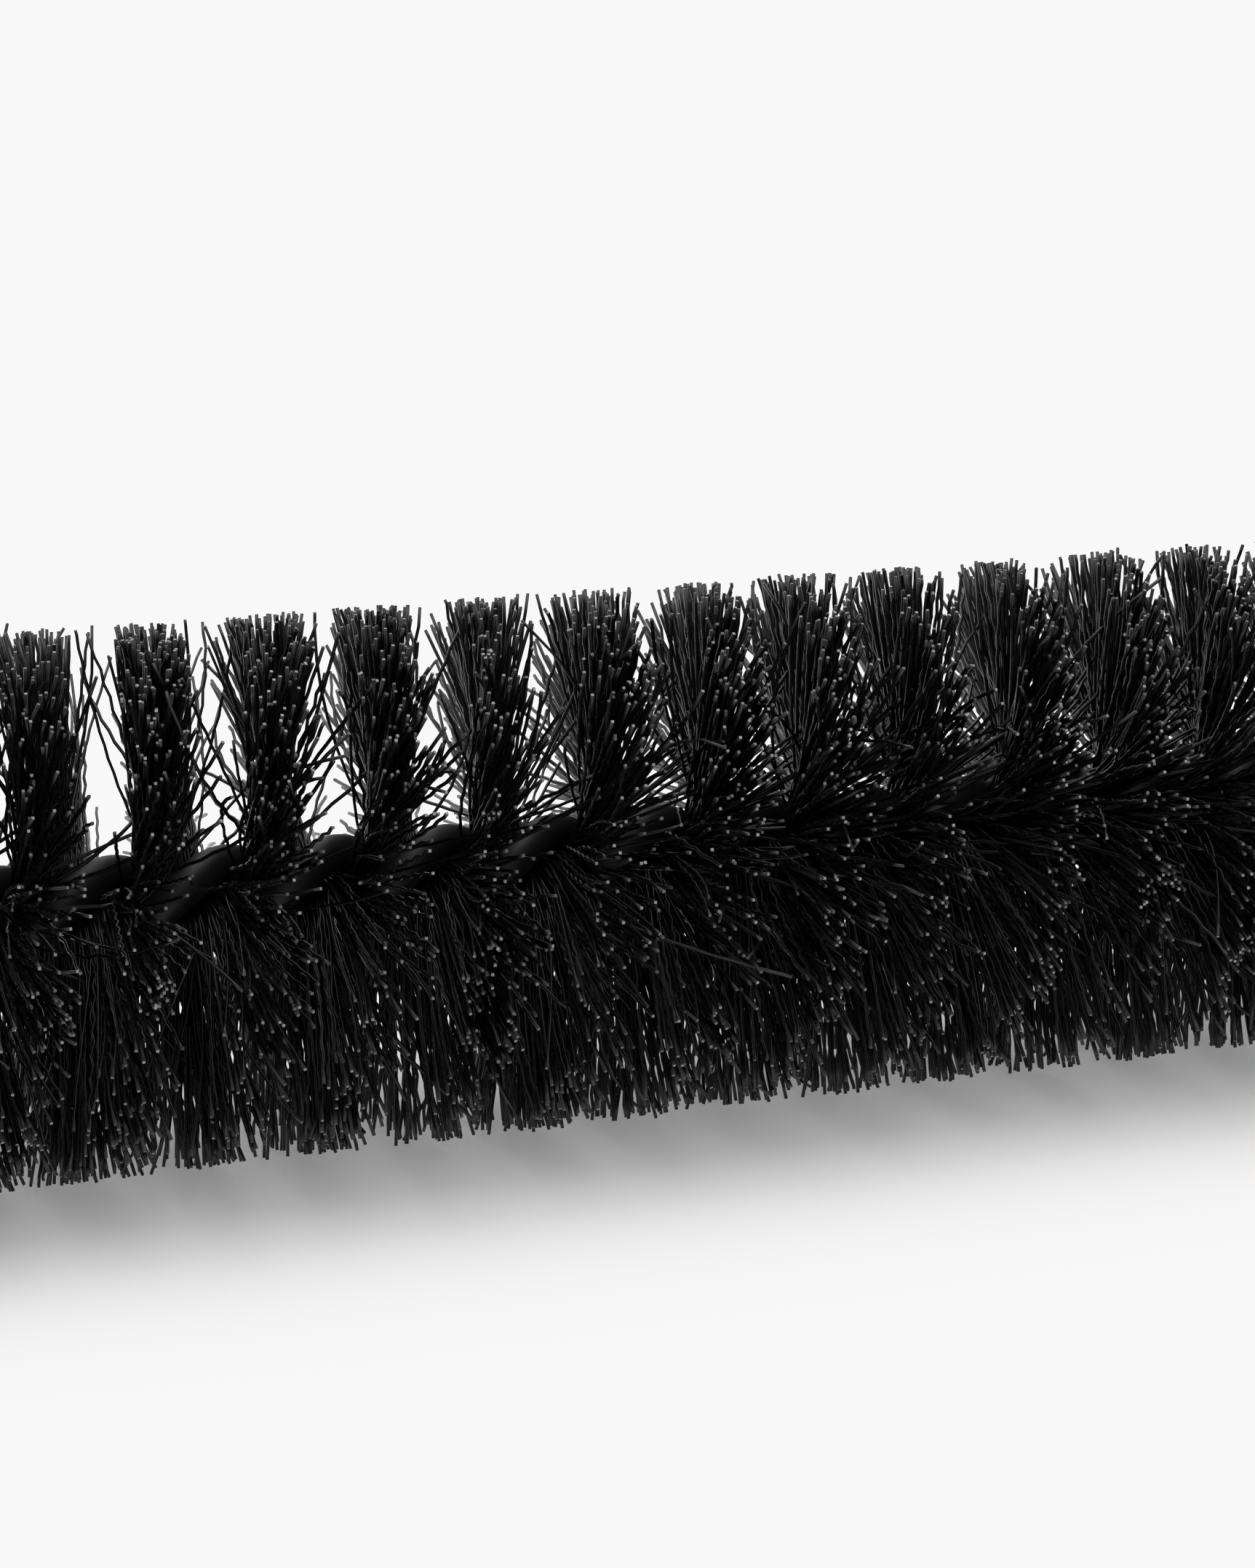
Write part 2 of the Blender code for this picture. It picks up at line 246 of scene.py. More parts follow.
def cool(shade):
    """A dark grey with a slight blue cast, as on black nylon."""
    return shade * 0.98, shade, shade * 1.04


def filament_look(name, shades, roughness, specular):
    """A surface whose shade comes from each filament's own number and drifts along it, as its gloss does."""
    made = principled(name, (shades[0][1],) * 3, roughness[0], specular)
    nodes, links = made.node_tree.nodes, made.node_tree.links
    place = nodes.new("ShaderNodeTexCoord")
    drift = noise_texture(nodes, links, place.outputs["Object"], 320.0, 3.0)
    own = nodes.new("ShaderNodeAttribute")
    own.attribute_name = "shade"
    lowered = multiply_add(nodes, links, own.outputs["Fac"], 1.0, -0.25)
    level = multiply_add(nodes, links, drift, 0.5, lowered)
    drive_colour(nodes, links, level, [(position, cool(shade)) for position, shade in shades])
    drive_roughness(nodes, links, drift, *roughness)
    return made


def filament_materials():
    """Glossy black nylon for the filaments' sides, and a paler, rougher one for their cut ends."""
    side_shades = ((0.0, 0.002), (0.5, 0.0035), (0.8, 0.007), (1.0, 0.018))
    end_shades = ((0.0, 0.04), (0.5, 0.13), (1.0, 0.32))
    sides = filament_look("filament", side_shades, (0.2, 0.36), 0.55)
    ends = filament_look("cut_end", end_shades, (0.5, 0.65), 0.5)
    return sides, ends


# ---------------------------------------------------------------- filaments

def ruling(angle):
    """Unit vectors across the axis at the given angles."""
    return np.stack([np.zeros_like(angle), np.cos(angle), np.sin(angle)], -1)


def leg_places(rng, row, count):
    """Where the legs of a row stand and how they lean.

    Gives each leg's place along the core, its side, its tip's lean along the core and across its fan, the
    radius that it is trimmed to, and whether it is a stray and whether it is swept along the core.
    """
    bunches = count // LEGS_PER_BUNCH
    spread = FAN_SPREAD * np.interp(row, NARROWED_ROWS, NARROWED_SPREADS)
    bunch = rng.integers(0, bunches, count)
    place = rng.uniform(0.0, 1.0, bunches)[bunch] + rng.normal(0.0, BUNCH_PLACE, count)
    side = rng.integers(0, 2, bunches)[bunch]
    along = rng.uniform(-1.0, 1.0, bunches)[bunch] * spread + rng.normal(0.0, BUNCH_TIP, count)
    across = rng.normal(0.0, BUNCH_ACROSS, bunches)[bunch] + rng.normal(0.0, BUNCH_TIP, count)
    trim = TRIM_RADIUS + rng.normal(0.0, BUNCH_TRIM, bunches)[bunch] + rng.normal(0.0, LEG_TRIM, count)
    loose = rng.random(count) < LOOSE_SHARE
    place = np.where(loose, rng.uniform(0.0, 1.0, count), place)
    side = np.where(loose, rng.integers(0, 2, count), side)
    along = np.where(loose, rng.normal(0.0, LOOSE_ALONG, count) * spread, along)
    across = np.where(loose, rng.normal(0.0, LOOSE_ACROSS, count), across)
    stray = rng.random(count) < STRAY_SHARE
    along = np.where(stray, rng.normal(0.0, STRAY_ALONG, count), along)
    across = np.where(stray, rng.normal(0.0, STRAY_ACROSS, count), across)
    swept = rng.random(count) < np.interp(row, SWEPT_ROWS, SWEPT_SHARES)
    along = np.where(swept, rng.uniform(*SWEPT_LEAN, count), along)
    trim = np.where(swept, np.sqrt(trim ** 2 - along ** 2) * rng.uniform(*SWEPT_LENGTH, count), trim)
    trim = np.minimum(trim, HEAD_RADIUS - OUTER_GAP)
    place = HEAD_START + (row + np.clip(place, 0.0, 1.0)) * HALF_TURN
    along = np.clip(place + along, HEAD_START - END_FAN, HEAD_END + END_FAN) - place
    return place, side, along, across, trim, stray, swept


def leg_lines(rng, row, count):
    """Middle lines of a row's legs: fanned out, bowed, with a zigzag crimp that the shading rounds."""
    place, side, along, across, trim, stray, swept = leg_places(rng, row, count)
    stations = int(HEAD_RADIUS / CRIMP_HALF_WAVE) + 1
    step = np.arange(stations + 1)
    wave = CRIMP_HALF_WAVE * rng.uniform(0.92, 1.12, count)
    shift = rng.uniform(0.0, 1.0, count)
    reach = np.sqrt(trim ** 2 - np.minimum(np.abs(across), 0.6 * trim) ** 2)
    distance = (step[None, :] - shift[:, None]) * wave[:, None]
    distance = np.clip(distance, 0.0, reach[:, None])
    distance[:, -1] = reach
    share = np.clip((distance - SPLAY_FROM) / (reach[:, None] - SPLAY_FROM), 0.0, 1.0)
    curve = np.where(swept, SWEPT_CURVE, rng.uniform(*SPLAY_CURVES, count))
    share = share ** curve[:, None]
    angle = TWIST_RATE * (place - HEAD_START) + side * math.pi
    out = ruling(angle)
    over = ruling(angle + math.pi / 2)
    bow = rng.normal(0.0, BOW, (2, count)) + rng.normal(0.0, STRAY_BOW, (2, count)) * stray
    arch = share * (1.0 - share) * 4.0
    widening = 1.0 + np.minimum(distance, SLIT_WIDENS_TO) / SLIT_WIDENS_OVER
    layer = rng.uniform(-SLIT, SLIT, count)[:, None] * widening
    forward = along[:, None] * share + bow[0][:, None] * arch
    sideways = layer + across[:, None] * share + bow[1][:, None] * arch
    line = ON_AXIS + place[:, None, None] * AXIS + distance[:, :, None] * out[:, None, :]
    line = line + forward[:, :, None] * AXIS + sideways[:, :, None] * over[:, None, :]
    turn = rng.uniform(0.0, math.tau, count)
    wobble = np.cos(turn)[:, None] * AXIS + np.sin(turn)[:, None] * over
    height = CRIMP_HEIGHT * rng.uniform(0.15, 1.25, count)
    sign = np.where(step % 2 == 0, 1.0, -1.0)
    free = np.clip((distance - CRIMP_FROM) / CRIMP_RAMP, 0.0, 1.0)
    inside = distance < reach[:, None] - PLAIN_TIP
    line += (height[:, None] * sign[None, :] * free * inside)[:, :, None] * wobble[:, None, :]
    return line, over


def grid_cells(count, stations):
    """Corners of a UV map with a square cell for each filament: its unrolled sides, its ends beside them."""
    grid = math.ceil(math.sqrt(count))
    leg = np.arange(count)
    cell = np.stack([leg % grid, leg // grid], -1)[:, None, None, None, :]
    corner = np.array([[0, 0], [1, 0], [1, 1], [0, 1]])[None, None, None, :, :]
    side = np.arange(4)[None, None, :, None]
    ring = np.arange(stations - 1)[None, :, None, None]
    margin = 0.06
    across = margin + 0.50 * (side + corner[..., 0]) / 4
    along = margin + (1 - 2 * margin) * (ring + corner[..., 1]) / (stations - 1)
    shape = (count, stations - 1, 4, 4)
    sides = cell + np.stack([np.broadcast_to(across, shape), np.broadcast_to(along, shape)], -1)
    square = corner[0, 0] * np.array([0.26, 0.40])
    roots = cell[:, 0, 0] + square + np.array([0.68, margin])
    tips = cell[:, 0, 0] + square + np.array([0.68, 0.54])
    return np.concatenate([part.reshape(-1, 2) for part in (sides, roots, tips)]) / grid


def filament_mesh(name, line, over, shade, cut, materials):
    """One mesh of closed four-sided tubes round many lines, with looks for their sides and flat cut ends."""
    count, stations, _ = line.shape
    tangent = np.gradient(line, axis=1)
    tangent /= np.linalg.norm(tangent, axis=2, keepdims=True) + 1e-12
    first = over[:, None, :] - tangent * np.sum(tangent * over[:, None, :], axis=2, keepdims=True)
    first /= np.linalg.norm(first, axis=2, keepdims=True)
    second = np.cross(tangent, first)
    corners = []
    for corner in range(4):
        angle = math.pi / 4 + corner * math.pi / 2
        corners.append(line + FILAMENT_RADIUS * (first * math.cos(angle) + second * math.sin(angle)))
    points = np.stack(corners, axis=2).reshape(-1, 3)
    points[:, 2] = np.maximum(points[:, 2], cad_low.z + OUTER_GAP)

    start = (np.arange(count) * stations * 4)[:, None, None]
    ring = (np.arange(stations - 1) * 4)[None, :, None]
    corner = np.arange(4)[None, None, :]
    here = start + ring + corner
    beside = start + ring + (corner + 1) % 4
    sides = np.stack([here, beside, beside + 4, here + 4], axis=-1).reshape(-1, 4)
    base = np.arange(count)[:, None] * stations * 4
    roots = base + np.array([3, 2, 1, 0])
    tips = base + (stations - 1) * 4 + np.arange(4)
    faces = np.concatenate([sides, roots, tips]).astype(np.int32)

    mesh = bpy.data.meshes.new(name)
    mesh.vertices.add(len(points))
    mesh.vertices.foreach_set("co", points.astype(np.float32).ravel())
    mesh.loops.add(faces.size)
    mesh.loops.foreach_set("vertex_index", faces.ravel())
    mesh.polygons.add(len(faces))
    mesh.polygons.foreach_set("loop_start", np.arange(0, faces.size, 4, dtype=np.int32))
    index = np.zeros(len(faces), np.int32)
    index[-count:] = 1
    mesh.polygons.foreach_set("material_index", index)
    shade_of_face = np.concatenate([np.repeat(shade, (stations - 1) * 4), shade, cut])
    mesh.attributes.new("shade", "FLOAT", "FACE").data.foreach_set("value", shade_of_face.astype(np.float32))
    cells = grid_cells(count, stations)
    mesh.uv_layers.new(name=UV_NAME).data.foreach_set("uv", cells.astype(np.float32).ravel())
    flat = np.zeros(len(faces), bool)
    flat[len(sides):] = True
    mesh.update(calc_edges=True)
    mesh.shade_smooth()
    mesh.attributes.new("sharp_face", "BOOLEAN", "FACE").data.foreach_set("value", flat)
    for look in materials:
        mesh.materials.append(look)
    mesh.validate()
    return mesh


def bristle_rows():
    """The filaments, one piece for each half turn of the core."""
    materials = filament_materials()
    count = LEGS_PER_ROW
    for row, node in enumerate(ROWS):
        rng = np.random.default_rng(SEED + row)
        line, over = leg_lines(rng, row, count)
        shade = rng.random(count)
        cut = rng.random(count)
        name = f"filaments_{row + 1:02d}"
        piece = new_object(name, filament_mesh(name, line, over, shade, cut, materials))
        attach(piece, "head")
        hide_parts(node)


# ---------------------------------------------------------------- shapes from rings

def ring_mesh(name, rings, look, closed=False, capped=False):
    """A mesh through rings of points (ring, place, 3): an open tube, a closed loop or a capped rod."""
    count, sides, _ = rings.shape
    ahead = np.arange(count) if closed else np.arange(count - 1)
    here = ahead[:, None] * sides + np.arange(sides)[None, :]
    beside = ahead[:, None] * sides + (np.arange(sides)[None, :] + 1) % sides
    onward = ((ahead + 1) % count)[:, None] * sides
    faces = np.stack([here, beside, onward + beside % sides, onward + here % sides], -1)
    faces = faces.reshape(-1, 4).tolist()
    if capped:
        faces.append(list(range(sides))[::-1])
        faces.append(list(range((count - 1) * sides, count * sides)))
    mesh = bpy.data.meshes.new(name)
    mesh.from_pydata(rings.reshape(-1, 3).tolist(), [], faces)
    shape = bmesh.new()
    shape.from_mesh(mesh)
    bmesh.ops.remove_doubles(shape, verts=shape.verts, dist=1e-7)
    bmesh.ops.recalc_face_normals(shape, faces=shape.faces)
    shape.to_mesh(mesh)
    shape.free()
    mesh.materials.append(look)
    return mesh


def standing_for(name, mesh, node, body, sharp=38):
    """The object of a mesh, in place of a CAD node, riding on its body."""
    mesh.shade_smooth()
    mesh.set_sharp_from_angle(angle=math.radians(sharp))
    piece = new_object(name, mesh)
    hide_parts(node)
    if body:
        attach(piece, body)
    return piece


def lathe(profile, sides=96, radius_at=None):
    """Rings of an outline of (place along the axis, radius) points turned round the axis."""
    angle = np.arange(sides) * math.tau / sides
    along = np.array([point[0] for point in profile])
    radius = np.repeat(np.array([point[1] for point in profile])[:, None], sides, 1)
    if radius_at is not None:
        radius = radius_at(along[:, None], angle[None, :], radius)
    return ON_AXIS + along[:, None, None] * AXIS + radius[:, :, None] * ruling(angle)[None, :, :]


def rounded(outline, radius, steps=5):
    """An open outline with its inner corners rounded by up to the given radius."""
    points = [np.array(point, float) for point in outline]
    made = [points[0]]
    for before, corner, after in zip(points, points[1:], points[2:]):
        to_before, to_after = before - corner, after - corner
        room = min(np.linalg.norm(to_before), np.linalg.norm(to_after)) * 0.45
        lengths = np.linalg.norm(to_before) * np.linalg.norm(to_after)
        turn = math.pi - math.acos(np.clip(np.dot(to_before, to_after) / lengths, -1.0, 1.0))
        cut = min(radius * math.tan(turn / 2), room)
        start = corner + to_before / np.linalg.norm(to_before) * cut
        end = corner + to_after / np.linalg.norm(to_after) * cut
        for step in range(steps + 1):
            share = step / steps
            made.append((1 - share) ** 2 * start + 2 * share * (1 - share) * corner + share ** 2 * end)
    made.append(points[-1])
    return made


# ---------------------------------------------------------------- core

def twist_angle(along):
    """Angle of the core's twist: a steady rate, fading in and out over TWIST_RAMP at its two ends."""
    steady_start = TWIST_START + TWIST_RAMP
    past = np.clip(along, HEAD_END, FOLD_AT) - HEAD_END
    short = steady_start - np.clip(along, TWIST_START, steady_start)
    middle = np.clip(along, steady_start, HEAD_END) - HEAD_START
    fading_out = past - past ** 2 / (2 * TWIST_RAMP)
    fading_in = short - short ** 2 / (2 * TWIST_RAMP)
    return TWIST_RATE * (middle + fading_out - fading_in)


def hairpin(first):
    """The folded wire's middle line and its outward directions: out, round the fold, and back."""
    along = np.concatenate([[first], np.arange(TWIST_START, FOLD_AT, HALF_TURN / 20), [FOLD_AT]])
    outward = ruling(twist_angle(along) + math.pi / 2)
    middle = ON_AXIS + along[:, None] * AXIS
    turn = np.linspace(0.0, math.pi, 18)[1:-1, None]
    fold_outward = outward[-1] * np.cos(turn) + AXIS * np.sin(turn)
    fold = middle[-1] + fold_outward * STRAND_OFFSET
    there, back = middle + outward * STRAND_OFFSET, middle - outward * STRAND_OFFSET
    line = np.concatenate([there, fold, back[::-1]])
    return line, np.concatenate([outward, fold_outward, -outward[::-1]])


def strand_rings(first, radius, sides=24):
    """Rings of a tube of the given radius round the whole hairpin."""
    line, outward = hairpin(first)
    tangent = np.gradient(line, axis=0)
    tangent /= np.linalg.norm(tangent, axis=1, keepdims=True)
    normal = outward - tangent * np.sum(tangent * outward, axis=1, keepdims=True)
    normal /= np.linalg.norm(normal, axis=1, keepdims=True)
    across = np.cross(tangent, normal)
    angle = np.arange(sides) * math.tau / sides
    cosine, sine = np.cos(angle)[None, :, None], np.sin(angle)[None, :, None]
    return line[:, None, :] + (normal[:, None, :] * cosine + across[:, None, :] * sine) * radius


def core():
    """The wire and its coating, each one tube round the whole hairpin."""
    coating_look = noise_look("vinyl_coating", (0.0075, 0.0075, 0.008), (0.011, 0.011, 0.0115), (0.42, 0.56),
                              2400.0, 180.0, (0.25, 0.00004))
    steel_look = noise_look("drawn_steel", (0.42, 0.42, 0.43), (0.58, 0.58, 0.58), (0.24, 0.42),
                            1800.0, 120.0, (0.2, 0.00003), stretch=(0.08, 1.0, 1.0), metallic=1.0)
    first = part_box("wire_coating")[0].x
    rings = np.concatenate([strand_rings(first, COATING_RADIUS), strand_rings(first, COATING_BORE)[::-1]])
    coating = standing_for("coated_strands", ring_mesh("coated_strands", rings, coating_look, closed=True),
                           "wire_coating", None)
    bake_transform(coating)
    rings = strand_rings(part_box("core_wire")[0].x, WIRE_RADIUS, 16)
    wire = standing_for("steel_wire", ring_mesh("steel_wire", rings, steel_look, capped=True),
                        "core_wire", None)
    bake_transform(wire)
    return steel_look


# ---------------------------------------------------------------- handle and caps

def smooth_step(value):
    """An S-curve from 0 to 1 over that range of the value."""
    value = np.clip(value, 0.0, 1.0)
    return value * value * (3 - 2 * value)


def tip_cap(look):
    """The soft cap over the wire's fold: a barrel with a groove round it and a domed end."""
    low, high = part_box("tip_cap")
    radius = (high.z - low.z) / 2
    cavity = STRAND_OFFSET + COATING_RADIUS + 0.35 * MM
    cavity_end = FOLD_AT + STRAND_OFFSET + COATING_RADIUS + 0.6 * MM
    dome = high.x - radius
    lip = radius - 0.2 * MM
    groove = radius - 0.6 * MM
    outline = [(cavity_end, 0.0), (cavity_end, cavity), (low.x, cavity), (low.x, lip),
               (low.x + 2.2 * MM, lip), (low.x + 2.5 * MM, groove), (low.x + 3.1 * MM, groove),
               (low.x + 3.4 * MM, radius), (dome, radius)]
    outline = rounded(outline, 0.5 * MM)
    dome_steps = 16
    for step in range(1, dome_steps + 1):
        turn = math.pi / 2 * step / dome_steps
        outline.append((dome + radius * math.sin(turn), radius * math.cos(turn)))
    rings = lathe(outline, 72)
    standing_for("tip_bumper", ring_mesh("tip_bumper", rings, look), "tip_cap", "head")


def grip(look):
    """The sleeve: a palm swell with grip grooves on its two flanks, fading out under the thumb."""
    low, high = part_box("grip_sleeve")
    length = high.x - low.x
    end_radius = 14.6 * MM
    swell = (high.z - low.z) / 2 - end_radius
    edge = 1.6 * MM
    stations = 420
    groove_pitch = 5.2 * MM
    groove_depth = 0.85 * MM
    profile = [(high.x, GRIP_BORE), (low.x, GRIP_BORE)]
    for share in np.linspace(0.0, 1.0, stations):
        from_end = min(share, 1.0 - share) * length
        drop = edge - math.sqrt(max(edge ** 2 - max(edge - from_end, 0.0) ** 2, 0.0))
        profile.append((low.x + length * share, end_radius + swell * math.sin(math.pi * share) - drop))

    def with_grooves(along, angle, radius):
        place = (along - low.x) / length
        groove = smooth_step((np.cos(math.tau * (along - low.x) / groove_pitch) - 0.35) / 0.65)
        ends = np.clip((0.5 - np.abs(place - 0.5)) / 0.09 - 1.0, 0.0, 1.0)
        flank = smooth_step((np.abs(np.cos(angle)) - 0.28) / 0.3)
        outside = radius > GRIP_BORE + 0.01 * MM
        return np.where(outside, radius - groove_depth * groove * ends * flank, radius)

    rings = lathe(profile, 128, with_grooves)
    standing_for("grip", ring_mesh("grip", rings, look, closed=True), "grip_sleeve", "handle")


def handle_body(look):
    """The rigid handle: a seat for the grip, a grooved collar, and a nose for the guard and the boot."""
    low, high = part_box("handle_core")
    grip_low, grip_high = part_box("grip_sleeve")
    flange = (high.z - low.z) / 2
    seat_from, seat_to = grip_low.x - GAP, grip_high.x + GAP
    collar_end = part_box("hand_guard")[0].x - GAP
    collar_groove = flange - 0.5 * MM
    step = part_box("wire_crimp")[1].x + GAP
    outline = [(low.x, ANCHOR_BORE), (low.x, flange), (seat_from, flange), (seat_from, GRIP_SEAT),
               (seat_to, GRIP_SEAT), (seat_to, flange), (collar_end - 4.2 * MM, flange),
               (collar_end - 3.8 * MM, collar_groove), (collar_end - 3.0 * MM, collar_groove),
               (collar_end - 2.6 * MM, flange), (collar_end, flange - 0.4 * MM), (collar_end, NOSE_RADIUS),
               (high.x, NOSE_RADIUS), (high.x, WIRE_BORE), (step, WIRE_BORE), (step, ANCHOR_BORE)]
    rings = lathe(rounded(outline, 0.9 * MM), 96)
    standing_for("handle_body", ring_mesh("handle_body", rings, look, closed=True),
                 "handle_core", "handle")


def guard(look):
    """The rounded hexagon that keeps the hand off the wheel, with a sunk ring on each face."""
    low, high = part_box("hand_guard")
    flat = (high.z - low.z) / 2
    corner = (high.y - low.y) / 2
    rim = (high.x - low.x) / 2
    middle = (low.x + high.x) / 2
    blend = 0.35 * MM
    sides = 180
    angle = np.arange(sides) * math.tau / sides
    off = (angle + math.pi / 2 + math.pi / 6) % (math.pi / 3) - math.pi / 6
    straight = flat / np.cos(off)
    outer = -np.log(np.exp(-straight / blend) + math.exp(-corner / blend)) * blend
    outer = np.minimum(outer, np.minimum(straight, corner))

    # Rows of (place along the axis from the middle, on the rim's side, distance out from rim or bore)
    shoulder = rim * 0.98
    rim_steps = 16
    rows = []
    for step in range(rim_steps + 1):
        turn = math.pi * (step / rim_steps - 0.5)
        rows.append((shoulder * math.sin(turn), True, rim * 0.75 * (math.cos(turn) - 1.0)))
    sunk = -0.45 * MM
    face = [(0.0, True, -4.2 * MM), (sunk, True, -4.8 * MM), (sunk, True, -9.0 * MM), (0.0, True, -9.6 * MM),
            (0.0, False, 3.2 * MM), (0.5 * MM, False, 2.4 * MM), (0.5 * MM, False, 0.5 * MM),
            (0.0, False, 0.0)]
    rows += [(shoulder + place, on_rim, out) for place, on_rim, out in face]
    rows += [(-(shoulder + place), on_rim, out) for place, on_rim, out in face[::-1]]
    rings = []
    for place, on_rim, out in rows:
        radius = outer + out if on_rim else np.full_like(angle, NOSE_BORE + out)
        place = min(max(place, -rim), rim)
        rings.append(ON_AXIS + (middle + place) * AXIS + radius[:, None] * ruling(angle))
    standing_for("guard", ring_mesh("guard", np.array(rings), look, closed=True),
                 "hand_guard", "handle", 50)


def boot(look):
    """The strain relief: a flared foot and a taper with flex grooves."""
    low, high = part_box("neck_boot")
    foot = 13.0 * MM
    taper_from, taper_to = 9.7 * MM, 6.9 * MM
    groove_from = low.x + 8.6 * MM
    taper_end = high.x - 1.6 * MM
    grooves = 5
    pitch = (taper_end - groove_from) / grooves
    outline = [(low.x, NOSE_BORE), (low.x, foot), (low.x + 2.6 * MM, foot), (low.x + 7.4 * MM, 9.9 * MM)]
    for groove in range(grooves):
        begin = groove_from + groove * pitch
        radius = taper_from - (taper_from - taper_to) * groove / grooves
        outline += [(begin, radius), (begin + 0.3 * pitch, radius - 1.0 * MM),
                    (begin + 0.55 * pitch, radius - 1.1 * MM), (begin + 0.85 * pitch, radius - 0.5 * MM)]
    outline += [(taper_end, 6.8 * MM), (high.x, 6.7 * MM), (high.x, WIRE_BORE)]
    nose_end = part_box("handle_core")[1].x + GAP
    outline += [(nose_end, WIRE_BORE), (nose_end, NOSE_BORE)]
    rings = lathe(rounded(outline, 0.55 * MM), 96)
    standing_for("boot", ring_mesh("boot", rings, look, closed=True), "neck_boot", "handle")


def crimp(look):
    """The steel sleeve on the wire's legs, with three pressed grooves."""
    low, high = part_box("wire_crimp")
    radius = (high.z - low.z) / 2
    bore = STRAND_OFFSET + WIRE_RADIUS + GAP
    chamfer = 0.4 * MM
    pressed = radius - 0.35 * MM
    grooves = 3
    outline = [(low.x, bore), (low.x, radius - chamfer), (low.x + chamfer, radius)]
    for groove in range(grooves):
        middle = low.x + (high.x - low.x) * (groove + 1) / (grooves + 1)
        outline += [(middle - 1.2 * MM, radius), (middle - 0.8 * MM, pressed),
                    (middle + 0.8 * MM, pressed), (middle + 1.2 * MM, radius)]
    outline += [(high.x - chamfer, radius), (high.x, radius - chamfer), (high.x, bore)]
    rings = lathe(rounded(outline, 0.25 * MM, 3), 64)
    standing_for("crimp", ring_mesh("crimp", rings, look, closed=True), "wire_crimp", "handle")


def plug(look):
    """The barbed plug behind the crimp."""
    low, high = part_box("anchor_plug")
    radius = (high.z - low.z) / 2
    chamfer = 0.8 * MM
    barb_pitch = 4.0 * MM
    outline = [(low.x, 0.0), (low.x, radius - chamfer), (low.x + chamfer, radius)]
    for barb in range(1, 5):
        begin = low.x + barb * barb_pitch
        outline += [(begin, radius), (begin + 0.1 * MM, radius - 0.45 * MM),
                    (begin + 3.0 * MM, radius - 0.02 * MM)]
    outline += [(high.x, radius), (high.x, 0.0)]
    rings = lathe(rounded(outline, 0.15 * MM, 2), 64)
    standing_for("plug", ring_mesh("plug", rings, look), "anchor_plug", "handle")


def tab_reach(turn, inner_edge):
    """The hanging tab's outline round its hole: half round at its end, and square where it meets the cap."""
    tall = np.maximum(np.abs(np.sin(turn)), 1e-9)
    ahead = np.maximum(np.cos(turn), 1e-9)
    return np.where(np.cos(turn) <= 0.0, TAB_RADIUS, np.minimum(TAB_RADIUS / tall, inner_edge / ahead))


def tab_rings(centre, inner_edge):
    """Rings round the hanging tab's hole, over its filleted outer and inner edges."""
    sides = 96
    turn = np.arange(sides) * math.tau / sides
    facing = np.stack([np.cos(turn), np.zeros_like(turn), np.sin(turn)], -1)
    reach = tab_reach(turn, inner_edge)
    fillet = 1.4 * MM
    fillet_steps = 5
    rings = []
    for quarter, on_edge in enumerate((True, True, False, False)):
        for step in range(fillet_steps + 1):
            lean = math.pi / 2 * step / fillet_steps
            sine, cosine = math.sin(lean), math.cos(lean)
            if quarter in (1, 3):
                sine, cosine = cosine, sine
            inset = fillet * (1 - sine)
            level = TAB_HALF_THICKNESS - fillet * (1 - cosine)
            radius = reach - inset if on_edge else np.full_like(reach, HOLE_RADIUS + inset)
            point = ON_AXIS + centre * AXIS + facing * radius[:, None]
            point[:, 1] += level if quarter in (0, 3) else -level
            rings.append(point)
    return np.array(rings)


def end_cap(look):
    """The cap pressed into the handle's end, and its hanging tab with a rounded hole."""
    low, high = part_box("end_cap")
    flange = (high.z - low.z) / 2
    flange_start = low.x + 15.0 * MM
    flange_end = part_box("handle_core")[0].x - GAP
    chamfer = 2.0 * MM
    plug_radius = 5.3 * MM
    outline = [(flange_start, 0.0), (flange_start, flange - chamfer), (flange_start + chamfer, flange),
               (flange_end, flange), (flange_end, plug_radius), (high.x, plug_radius), (high.x, 0.0)]
    shell = new_object("cap", ring_mesh("cap", lathe(rounded(outline, 1.2 * MM), 96), look))
    centre = low.x + TAB_RADIUS
    inner_edge = flange_start + 3.0 * MM - centre
    tab = new_object("cap_tab", ring_mesh("cap_tab", tab_rings(centre, inner_edge), look, closed=True))
    joined = shell.modifiers.new("tab", "BOOLEAN")
    joined.object = tab
    joined.operation = "UNION"
    joined.solver = "EXACT"
    depsgraph = bpy.context.evaluated_depsgraph_get()
    mesh = bpy.data.meshes.new_from_object(shell.evaluated_get(depsgraph))
    mesh.name = "cap_with_tab"
    bpy.data.objects.remove(shell)
    bpy.data.objects.remove(tab)
    standing_for("cap_with_tab", mesh, "end_cap", "handle", 34)


def handle(steel_look):
    """The handle's pieces and the cap at the head's tip."""
    rubber = noise_look("soft_rubber", (0.008, 0.008, 0.009), (0.015, 0.015, 0.016), (0.44, 0.66),
                        1300.0, 90.0, (0.5, 0.00014), specular=0.32)
    moulded = noise_look("moulded_plastic", (0.007, 0.007, 0.008), (0.012, 0.012, 0.013), (0.26, 0.42),
                         1000.0, 70.0, (0.3, 0.00009), specular=0.38)
    tip_cap(rubber)
    grip(rubber)
    guard(rubber)
    boot(rubber)
    handle_body(moulded)
    end_cap(moulded)
    plug(moulded)
    crimp(steel_look)


# ---------------------------------------------------------------- camera, floor and light

def view_direction(elevation):
    """Unit vector along which a camera at the photograph's yaw looks down by the given elevation."""
    return Vector((math.sin(CAMERA_YAW) * math.cos(elevation),
                   math.cos(CAMERA_YAW) * math.cos(elevation), -math.sin(elevation)))


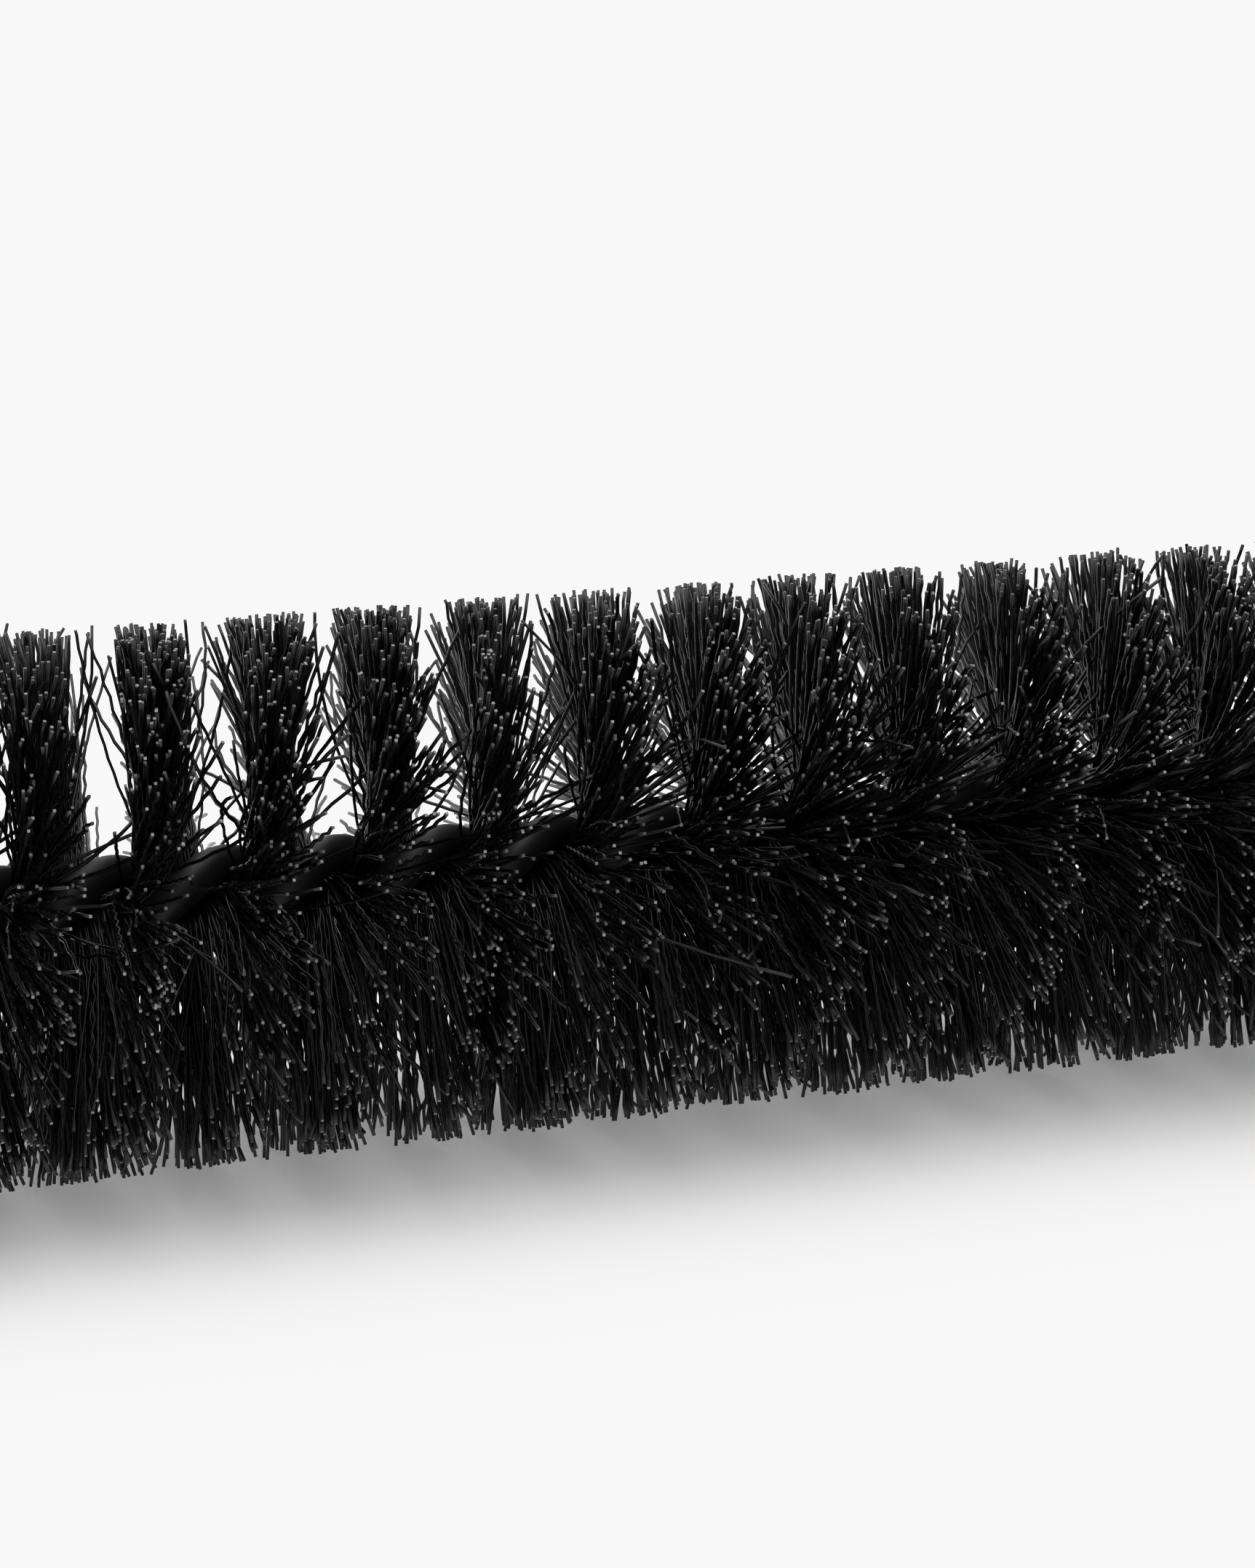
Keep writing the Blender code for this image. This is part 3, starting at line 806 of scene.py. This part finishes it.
def make_camera():
    """A long lens over the middle of the bristle head."""
    data = bpy.data.cameras.new("camera")
    data.lens = CAMERA_LENS
    data.clip_start = 0.01
    data.clip_end = 20.0
    camera = new_object("camera", data)
    target = Vector((HEAD_START + AIM_ROW * HALF_TURN, 0.0, AXIS_Z))
    camera.location = target - view_direction(CAMERA_ELEVATION) * CAMERA_DISTANCE
    camera.rotation_mode = "QUATERNION"
    camera.rotation_quaternion = view_direction(CAMERA_ELEVATION - CAMERA_AIM_UP).to_track_quat("-Z", "Y")
    bpy.context.scene.camera = camera


def make_floor():
    """A plain pale floor, with a little emission in place of the light that a larger studio would return."""
    size = FLOOR_HALF_SIZE
    mesh = bpy.data.meshes.new("floor")
    mesh.from_pydata([(-size, -size, 0.0), (size, -size, 0.0), (size, size, 0.0), (-size, size, 0.0)],
                     [], [(0, 1, 2, 3)])
    look = principled("floor", (0.7, 0.7, 0.7), 0.9, 0.0)
    shader = look.node_tree.nodes["Principled BSDF"]
    shader.inputs["Emission Color"].default_value = (1.0, 1.0, 1.0, 1.0)
    shader.inputs["Emission Strength"].default_value = 0.22
    mesh.materials.append(look)
    new_object("floor", mesh)


def sun(name, direction, energy, spread):
    """A sun lamp shining along the direction, soft by its spread in degrees."""
    data = bpy.data.lights.new(name, "SUN")
    data.energy = energy
    data.angle = math.radians(spread)
    lamp = new_object(name, data)
    lamp.rotation_mode = "QUATERNION"
    lamp.rotation_quaternion = Vector(direction).to_track_quat("-Z", "Y")


def make_tone():
    """A straight view transform with a soft shoulder that keeps the white ground just under full white."""
    settings = bpy.context.scene.view_settings
    settings.view_transform = "Standard"
    settings.look = "None"
    settings.use_curve_mapping = True
    settings.curve_mapping.extend = "HORIZONTAL"
    curve = settings.curve_mapping.curves[3]
    curve.points[0].location = (0.0, 0.0)
    curve.points[1].location = (1.0, 0.94)
    curve.points.new(0.6, 0.61)
    curve.points.new(0.85, 0.87)
    settings.curve_mapping.update()


def make_light():
    """A white studio, brighter above, behind and to the right, and one broad overhead panel."""
    world = bpy.data.worlds.new("studio")
    world.use_nodes = True
    nodes, links = world.node_tree.nodes, world.node_tree.links
    place = nodes.new("ShaderNodeTexCoord")
    parts = nodes.new("ShaderNodeSeparateXYZ")
    links.new(place.outputs["Generated"], parts.inputs["Vector"])
    above = multiply_add(nodes, links, parts.outputs["Z"], 0.55, 0.58)
    behind = multiply_add(nodes, links, parts.outputs["Y"], 0.48, above)
    level = multiply_add(nodes, links, parts.outputs["X"], 0.2, behind)
    backdrop = nodes.new("ShaderNodeMix")
    path = nodes.new("ShaderNodeLightPath")
    links.new(path.outputs["Is Camera Ray"], backdrop.inputs["Factor"])
    links.new(level, backdrop.inputs["A"])
    backdrop.inputs["B"].default_value = 1.0
    links.new(backdrop.outputs["Result"], nodes["Background"].inputs["Strength"])
    nodes["Background"].inputs["Color"].default_value = (1.0, 1.0, 1.0, 1.0)
    bpy.context.scene.world = world
    sun("overhead_panel", (-0.1, -0.08, -1.0), 1.1, 60)


make_camera()
make_floor()
make_tone()
make_light()
bristle_rows()
handle(core())
